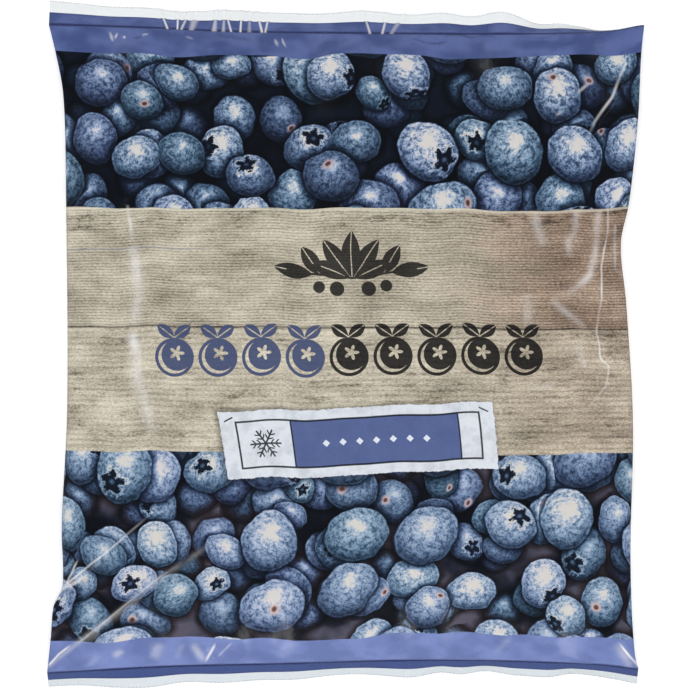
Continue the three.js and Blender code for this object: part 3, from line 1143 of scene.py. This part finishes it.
def printed_wood(place, u, v):
    """Two pale old planks, a ribbed one over one with flowing grain, and where they show."""
    rise = step(size_of(u), *RISING, 0.0, EDGE_RISE)
    level = fused(u, -PLANK_SLOPE, v)
    stain = speckle(place * STAIN_STRETCH, *STAIN_NOISE)
    streaks = speckle(place * STREAK_STRETCH, *STREAK_NOISE)
    specks = speckle(place * SPECK_STRETCH, *SPECK_NOISE)
    blots = speckle(place * BLOT_STRETCH + BLOT_SHIFT, *BLOT_NOISE)
    bend = RIB_BEND * speckle(place * BEND_STRETCH, *BEND_NOISE)
    low = fading(level, PLANK_SEAM - SEAM_BLEND, PLANK_SEAM + SEAM_BLEND)
    stained = fused(stain, fused(low, STAINS[1], STAINS[0]), fused(low, COMMON_LEVEL[1], COMMON_LEVEL[0]))
    common = fused(streaks, STREAKS, stained)
    near_top = step(v, BLOTS_FROM, WOOD_TOP - 2.0, BLOTS_BELOW, 1.0)
    upper = plank(UPPER_GRAIN, ribs(level, RIB_PITCH, bend), specks)
    upper = upper - step(blots, *UPPER_GRAIN["blots"]) * near_top
    lower = plank(LOWER_GRAIN, ribs(level, WAVE_PITCH, WAVE_BEND * bend), specks)
    lower = lower - step(blots, *LOWER_GRAIN["blots"])
    grain = clip(common + mix(upper, lower, low))
    tanned = step(fused(stain, TAN_WANDER, u), *TAN_SIDE) * fused(low, TAN_LOSS, 1.0)
    colour = mix(tinted(grain, GREY_TONES), tinted(grain, TAN_TONES), tanned)
    pencil = fading(size_of(level - PENCIL_LINE), 0.08, 0.34, 0.6)
    colour = mix(colour, PENCIL_COLOUR, pencil * fading(u, *PENCIL_END))
    gap = size_of(fused(streaks, 0.5, level - PLANK_SEAM - CRACK_OFFSET))
    crack = fading(gap, 0.14, 0.46) * step(blots, 0.40, 0.56, 0.95, 0.65)
    colour = mix(colour, CRACK_COLOUR, crack)
    edge = size_of(v - rise - WOOD_TOP + EDGE_INSET)
    colour = mix(colour, EDGE_COLOUR, fading(edge, 0.2, 0.6, 0.5))
    lowered = v + step(u, *DROPPING, 0.0, EDGE_DROP)
    return colour, smaller(v - rise, WOOD_TOP) * smaller(WOOD_BOTTOM, lowered)


VEIN_HALF = 0.16


def leaf(place, foot, turn, reach, width):
    """Ink of one pointed leaf that grows from its foot, with a bare middle vein."""
    x, y, _ = part(turned(place - foot, -radians(turn)))
    along = x / reach
    off = size_of(y)
    half = along * fused(along, -2.0 * width, 2.0 * width)
    return smaller(off, half) * smaller(VEIN_HALF, off)


# The sprig and the row of fruit signs, in millimetres on the film
BLACK_INK = linear(20, 20, 22)
BLUE_INK = linear(64, 76, 112)
SPRIG_MIDDLE = (2.0, 21.0, 0.0)
STEM_SLOPE = -0.14
STEM_HALF = 0.34
STEM_REACH = 20.0
SPRIG_LEAVES = (
    # foot, turn, reach and width
    ((0.0, 0.0, 0.0), 90.0, 14.5, 5.8),
    ((0.5, 0.0, 0.0), 56.0, 14.5, 5.4),
    ((0.5, 0.0, 0.0), 24.0, 13.0, 5.0),
    ((9.5, 1.3, 0.0), 58.0, 10.5, 4.8),
    ((12.0, 1.6, 0.0), 10.0, 12.0, 4.6),
)
SPRIG_BERRIES = (((4.8, -3.2, 0.0), 2.2), ((10.2, -2.4, 0.0), 1.8))
ICON_PITCH = 13.2
ICON_START = -59.4
ICON_COUNT = 9
BLUE_ICONS = 4
ICON_LEVEL = -2.8
ICON_RADIUS = 5.9
ICON_CROWN = (0.7, 1.3, 0.0)
PETAL_MIDDLE = 1.6
PETAL_WAVE = 0.75
SHINE_MIDDLE = (0.8, 0.7, 0.0)
SHINE_OUTER = 4.9
SHINE_INNER = 4.75
ICON_LEAF = (6.4, 3.6)
ICON_LEAF_TURNS = (36.0, 144.0)


def sprig_ink(place):
    """A small black sprig of leaves and berries over the row of fruit."""
    x, y, _ = part(place - SPRIG_MIDDLE)
    x = size_of(x)
    half = spot(x, y)
    ink = smaller(size_of(fused(x, STEM_SLOPE, y)), STEM_HALF) * smaller(x, STEM_REACH)
    for foot, turn, reach, width in SPRIG_LEAVES:
        ink = either(ink, leaf(half, foot, turn, reach, width))
    for middle_of, radius in SPRIG_BERRIES:
        ink = either(ink, smaller(far(half, middle_of), radius))
    return ink


def icon_ink(u, v):
    """A row of plain fruit with crowns and leaves, and which of them are blue."""
    along = (u - ICON_START) / ICON_PITCH
    number = reckon("FLOOR", along)
    place = spot((along - number - 0.5) * ICON_PITCH, v - ICON_LEVEL)
    star_x, star_y, _ = part(place - ICON_CROWN)
    star = fused(reckon("COSINE", 5.0 * reckon("ARCTAN2", star_y, star_x)), PETAL_WAVE, PETAL_MIDDLE)
    open_crown = smaller(length(spot(star_x, star_y)), star)
    shine = smaller(length(place), SHINE_OUTER) * smaller(SHINE_INNER, far(place, SHINE_MIDDLE))
    fruit = clip(smaller(length(place), ICON_RADIUS) - open_crown - shine)
    top = (0.0, ICON_RADIUS + 0.1, 0.0)
    right, left = (leaf(place, top, turn, *ICON_LEAF) for turn in ICON_LEAF_TURNS)
    inside = smaller(size_of(number - (ICON_COUNT - 1) / 2), ICON_COUNT / 2)
    return either(fruit, either(right, left)) * inside, smaller(number, BLUE_ICONS - 0.5)


# Paper tag, in millimetres on the film about its own middle
TAG_MIDDLE = (2.9, -28.4, 0.0)
TAG_TURN = 1.75
TAG_HALF = (40.9, 10.3)
TAG_LEAN = 0.115
TAG_NARROWING = -0.0010
TAG_SHADOW = (-0.8, 1.8, 0.62)
SHADOW_LEAN = 0.010
TEAR_DEPTH = 0.9
TORN_EDGE = (-0.10, 0.06)
CRUMPLE_NOISE = (5.0, 4.0, 0.65)
TEAR_NOISE = (1.5, 3.0, 0.6)
LABEL_MIDDLE = (0.2, 0.0)
LABEL_HALF = (36.2, 7.1)
FIELD_START = -20.0
FIELD_END = 29.8
LINE_WIDTH = 0.29
FLAKE_AT = -28.2
FLAKE_RADIUS = 4.7
ARM_HALF = 0.26
TWIG_FEET = (1.5, 2.9)
TWIG_SLOPE = 1.2
TWIG_HALF = 0.32
TWIG_REACH = 1.25
DOT_PITCH = 5.0
DOT_HALF = 1.1
DOT_COUNT = 7
STAPLES = ((-38.2, 8.0, 25.0), (37.8, 8.0, -25.0))
STAPLE_HALF = 1.5
WIRE_HALF = 0.22
PAPER_COLOURS = (linear(198, 203, 212), linear(217, 222, 230))
FIELD_COLOURS = (linear(76, 90, 136), linear(90, 105, 152))
DOT_COLOUR = linear(216, 222, 232)
FRAME_COLOUR = linear(20, 21, 27)
SHADOW_COLOUR = linear(22, 22, 26)


def flake_ink(place):
    """A plain six-armed snow star."""
    x, y, _ = part(place)
    out = length(place)
    angle = reckon("ARCTAN2", y, x) / (pi / 3)
    off = size_of(reckon("FRACT", angle + 0.5) - 0.5) * (pi / 3)
    along = out * reckon("COSINE", off)
    aside = out * reckon("SINE", off)
    arm = smaller(aside, ARM_HALF) * smaller(along, FLAKE_RADIUS)
    for foot in TWIG_FEET:
        twig = smaller(size_of(aside - (along - foot) * TWIG_SLOPE), TWIG_HALF)
        arm = either(arm, twig * smaller(aside, TWIG_REACH))
    return arm


def beyond_box(x, y, half):
    """How far a place lies outside a box about the origin, below 0 inside it."""
    return either(size_of(x) - half[0], size_of(y) - half[1])


def paper_tag(colour, place):
    """An off-white paper tag with a thin frame, a blue field of white dots and a snow star."""
    x, y, _ = part(turned(place - TAG_MIDDLE, -radians(TAG_TURN)))
    x = fused(y, fused(x, TAG_NARROWING, TAG_LEAN), x)
    crumple = speckle(place, *CRUMPLE_NOISE)
    tear = speckle(place, *TEAR_NOISE) - 0.5
    beyond = beyond_box(x, y, TAG_HALF)
    shadow = fading(fused(x, SHADOW_LEAN, beyond), *TAG_SHADOW)
    colour = mix(colour, SHADOW_COLOUR, shadow)
    paper = mix(*PAPER_COLOURS, step(crumple, 0.30, 0.62))
    colour = mix(colour, paper, fading(fused(tear, TEAR_DEPTH, beyond), *TORN_EDGE))

    x, y = x - LABEL_MIDDLE[0], y - LABEL_MIDDLE[1]
    outside = beyond_box(x, y, LABEL_HALF)
    within = smaller(outside, 0.0)
    blue = within * smaller(FIELD_START, x) * smaller(x, FIELD_END)
    colour = mix(colour, mix(*FIELD_COLOURS, crumple), blue)
    row_x = x - (FIELD_START + FIELD_END) / 2
    dot_x = (reckon("FRACT", row_x / DOT_PITCH + 0.5) - 0.5) * DOT_PITCH
    dots = smaller(size_of(dot_x) + size_of(y), DOT_HALF)
    dots = dots * smaller(size_of(row_x), DOT_PITCH * DOT_COUNT / 2)
    colour = mix(colour, DOT_COLOUR, dots * blue)

    lines = smaller(size_of(outside), LINE_WIDTH)
    for at in (FIELD_START, FIELD_END):
        lines = either(lines, smaller(size_of(x - at), LINE_WIDTH * 0.8) * within)
    lines = either(lines, flake_ink(spot(x - FLAKE_AT, y)))
    for at_x, at_y, turn in STAPLES:
        wire_x, wire_y, _ = part(turned(spot(x - at_x, y - at_y), -radians(turn)))
        wire = smaller(size_of(wire_y), WIRE_HALF) * smaller(size_of(wire_x), STAPLE_HALF)
        lines = either(lines, wire)
    return mix(colour, FRAME_COLOUR, lines * 0.94)


# The violet bands at both ends, their hems past the seams, and the milky edge past the print; the bottom
# band is painted lighter as lit, both are mottled by painted wrinkle shading and reflection, with a
# painted shadow along each fold and painted shade on the bottom hem and the bottom milky edge
TOP_VIOLETS = (linear(67, 82, 131), linear(89, 104, 155))
# The bottom band is painted lighter, as lit
LIT_BOTTOM_VIOLETS = (linear(102, 118, 170), linear(120, 136, 190))
SHADED_BOTTOM_HEM = linear(58, 76, 128)
SHADING_CLOUD_STRETCH = (1.0, 1.4, 0.0)
SHADING_CLOUD_NOISE = (11.0, 2.0)
# Painted shadow along the fold at each seam: how far past the seam it lies, and its half width
FOLD_SHADOW_OFFSET = 0.3
FOLD_SHADOW_HALF = (0.5, 0.4)         # half the fold line's width, and how much more under a cloud
BLEND = 0.1
HEM_END = linear(44, 50, 92)
FOLD_SHADOW = linear(38, 42, 82)
# The milky edge, with painted shade making the bottom one greyer
MILKY_EDGES_SHADED_BELOW = (linear(234, 238, 240), linear(211, 218, 223))


def end_bands(place, v):
    """Colour of the bands at both ends of the film, with their painted light and shade."""
    along = size_of(v)
    below = smaller(v, 0.0)
    # Painted shading and reflection of the film's wrinkles, as soft lighter and darker patches
    shading_cloud = step(speckle(place * SHADING_CLOUD_STRETCH, *SHADING_CLOUD_NOISE), 0.30, 0.70)
    violet = mix(mix(*TOP_VIOLETS, shading_cloud), mix(*LIT_BOTTOM_VIOLETS, shading_cloud), below)
    # Painted shade on the bottom hem past the seam
    violet = mix(violet, SHADED_BOTTOM_HEM, smaller(FLAT_SEAM, along) * below * 0.92)
    hem = FLAT_SEAM + PRINT_END
    violet = mix(violet, HEM_END, step(along, hem - 0.8, hem - BLEND, 0.0, 0.45))
    # Painted shadow in the step along each fold
    fold = size_of(along - FLAT_SEAM - FOLD_SHADOW_OFFSET)
    violet = mix(violet, FOLD_SHADOW, fading(fold, 0.10, fused(shading_cloud, FOLD_SHADOW_HALF[1], FOLD_SHADOW_HALF[0]), 0.85))
    milky = mix(*MILKY_EDGES_SHADED_BELOW, below)
    return mix(violet, milky, step(along, hem - BLEND, hem + BLEND)), along


def film_print(place):
    """Every field of the print, by its place on the flat film."""
    u, v, _ = part(place)
    colour = printed_berries(place)
    wood, wood_shown = printed_wood(place, u, v)
    icons, blue = icon_ink(u, v)
    wood = mix(wood, mix(BLACK_INK, BLUE_INK, blue), icons * 0.96)
    wood = mix(wood, BLACK_INK, sprig_ink(place) * 0.94)
    colour = mix(colour, wood, wood_shown)
    colour = paper_tag(colour, place)
    bands, along = end_bands(place, v)
    return mix(colour, bands, step(along, BAND_EDGE - BLEND, BAND_EDGE + BLEND))


def new_material(name):
    material = bpy.data.materials.new(name)
    material.use_nodes = True
    return material, material.node_tree, material.node_tree.nodes["Principled BSDF"]


WHITENING_AND_HIGHLIGHT = linear(240, 238, 238)
SHADE_LINE = linear(26, 28, 52)
ROUGHNESS = 0.20
RUBBED = 0.14
SPECULAR = 0.3
COAT = 0.15
COAT_ROUGHNESS = 0.06
CRINKLE_STRENGTH = 0.15
CRINKLE_DEPTH = 0.5
CRINKLE_NOISE = (5.0, 3.0, 0.55)
RUB_NOISE = (9.0, 3.0)


def film_material():
    """Glossy printed film with fine crinkles, painted highlights along its creases and pleats, partly
    whitened film, and painted shade in some creases.
    """
    material, tree, shader = new_material("printed_film")
    flat = tree.nodes.new("ShaderNodeUVMap")
    flat.uv_map = "flat_film"
    place = Field(flat.outputs[0]) * PRINT_UNIT
    lines = tree.nodes.new("ShaderNodeAttribute")
    lines.attribute_name = "crease"
    aside, mark, soft = part(Field(lines.outputs["Vector"]))
    # Painted highlights, partly whitened film, where the crease value is above 0, and painted shade where
    # it is below 0
    crease_light_and_shade = fused(fading(size_of(aside), 0.0, 1.0), mark, soft)
    colour = mix(film_print(place), WHITENING_AND_HIGHLIGHT, clip(crease_light_and_shade))
    colour = mix(colour, SHADE_LINE, clip(crease_light_and_shade * -1.0))
    plug(tree, shader.inputs["Base Color"], colour)
    plug(tree, shader.inputs["Roughness"], ROUGHNESS + RUBBED * speckle(place, *RUB_NOISE))
    shader.inputs["Specular IOR Level"].default_value = SPECULAR
    shader.inputs["Coat Weight"].default_value = COAT
    shader.inputs["Coat Roughness"].default_value = COAT_ROUGHNESS
    bump = tree.nodes.new("ShaderNodeBump")
    bump.inputs["Strength"].default_value = CRINKLE_STRENGTH
    bump.inputs["Distance"].default_value = CRINKLE_DEPTH * MM
    plug(tree, bump.inputs["Height"], speckle(place, *CRINKLE_NOISE))
    tree.links.new(bump.outputs[0], shader.inputs["Normal"])
    tree.links.new(bump.outputs[0], shader.inputs["Coat Normal"])
    return material


def finish_piece(piece, material):
    """Smooth shading, the film's material, and its place in the bag."""
    piece.data.materials.clear()
    piece.data.materials.append(material)
    piece.data.polygons.foreach_set("use_smooth", np.ones(len(piece.data.polygons), bool))
    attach(piece, "root")
    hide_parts("bag")


def outline_middle():
    """Middle of the bag's outline, which the frame has at its origin."""
    edge = np.linspace(-1, 1, OUTLINE_PLACES)
    ends = [seal_point(edge, end, np.full_like(edge, out)) for end in (-1.0, 1.0) for out in (0.0, 1.0)]
    xs = np.concatenate([p[0] for p in ends])
    ys = np.concatenate([p[1] for p in ends])
    return (xs.min() + xs.max()) / 2, (ys.min() + ys.max()) / 2


middle = outline_middle()
FRONT_MEASURE = film_measure(front_point)
BACK_MEASURE = film_measure(back_point)

film = film_material()
for made in (film_tube(), end_seal("top_seal", 1.0), end_seal("bottom_seal", -1.0), back_lap()):
    finish_piece(made, film)


# Floor, light and camera


# The photograph's width in pixels; a pixel, the photograph's middle and the sensor in millimetres
PHOTO_WIDTH = 690
PIXEL = 0.30
PHOTO_MIDDLE = (-0.3, 0.0)
SENSOR = 36
# The camera, the floor, the backdrop and the lamps in metres
CAMERA_HEIGHT = 1.6
FLOOR_SIZE = 6.0
FLOOR_SHADE = 0.94
FLOOR_GLOW = 0.30
WALL_RADIUS = 3.0
WALL_HEIGHT = 1.0
SKY_COLOUR = (0.98, 0.99, 1.0, 1)
SKY_STRENGTH = 0.13
LAMPS = (
    # name, place, size, watts, and if the film's gloss mirrors it
    ("fill", (0.0, 0.0, 2.2), 1.2, 30.8, False),
    ("left", (-1.2, 0.2, 0.52), 0.4, 1.5, False),
    ("right", (1.2, 0.1, 0.52), 0.4, 1.5, False),
    ("top_left", (-0.7, 1.0, 0.50), 0.4, 1.6, True),
    ("top_right", (0.7, 1.0, 0.50), 0.4, 1.6, True),
    ("bottom_left", (-0.6, -1.05, 0.60), 0.5, 3.0, True),
    ("bottom_right", (0.6, -1.05, 0.60), 0.5, 3.0, True),
)


def pale_floor():
    """A plain floor, which the film's gloss doesn't mirror."""
    bpy.ops.object.select_all(action="DESELECT")
    bpy.ops.mesh.primitive_plane_add(size=FLOOR_SIZE)
    floor = bpy.context.object
    floor.name = "floor"
    floor.visible_glossy = False
    material, tree, shader = new_material("pale_floor")
    shader.inputs["Base Color"].default_value = (FLOOR_SHADE, FLOOR_SHADE, FLOOR_SHADE, 1)
    shader.inputs["Roughness"].default_value = 0.9
    shader.inputs["Emission Color"].default_value = (1, 1, 1, 1)
    shader.inputs["Emission Strength"].default_value = FLOOR_GLOW
    floor.data.materials.append(material)


def backdrop():
    """A low pale wall all round, far outside the lights."""
    bpy.ops.object.select_all(action="DESELECT")
    bpy.ops.mesh.primitive_cylinder_add(
        vertices=96, radius=WALL_RADIUS, depth=WALL_HEIGHT, end_fill_type="NOTHING",
        location=(0, 0, WALL_HEIGHT / 2),
    )
    wall = bpy.context.object
    wall.name = "backdrop"
    wall.visible_glossy = False
    wall.data.materials.append(bpy.data.materials["pale_floor"])


def softbox(name, place, size, watts, mirrored):
    """A square studio light that faces the bag."""
    light = bpy.data.lights.new(name, "AREA")
    light.size = size
    light.energy = watts
    lamp = bpy.data.objects.new(name, light)
    lamp.visible_glossy = mirrored
    bpy.context.scene.collection.objects.link(lamp)
    lamp.location = place
    lamp.rotation_euler = (-Vector(place)).to_track_quat("-Z", "Y").to_euler()


def camera():
    """Looks straight down on the front, a photograph pixel being PIXEL wide at the seams' height."""
    lens = bpy.data.cameras.new("camera")
    eye = bpy.data.objects.new("camera", lens)
    bpy.context.scene.collection.objects.link(eye)
    lens.sensor_fit = "HORIZONTAL"
    lens.sensor_width = SENSOR
    lens.lens = SENSOR * (CAMERA_HEIGHT - SEAM_HEIGHT * MM) / (PHOTO_WIDTH * PIXEL * MM)
    eye.location = ((PHOTO_MIDDLE[0] - middle[0]) * MM, (PHOTO_MIDDLE[1] - middle[1]) * MM, CAMERA_HEIGHT)
    bpy.context.scene.camera = eye


def studio():
    world = bpy.data.worlds.new("studio")
    world.use_nodes = True
    sky = world.node_tree.nodes["Background"]
    sky.inputs["Color"].default_value = SKY_COLOUR
    sky.inputs["Strength"].default_value = SKY_STRENGTH
    bpy.context.scene.world = world
    bpy.context.scene.view_settings.view_transform = "Standard"
    for lamp in LAMPS:
        softbox(*lamp)


pale_floor()
backdrop()
studio()
camera()
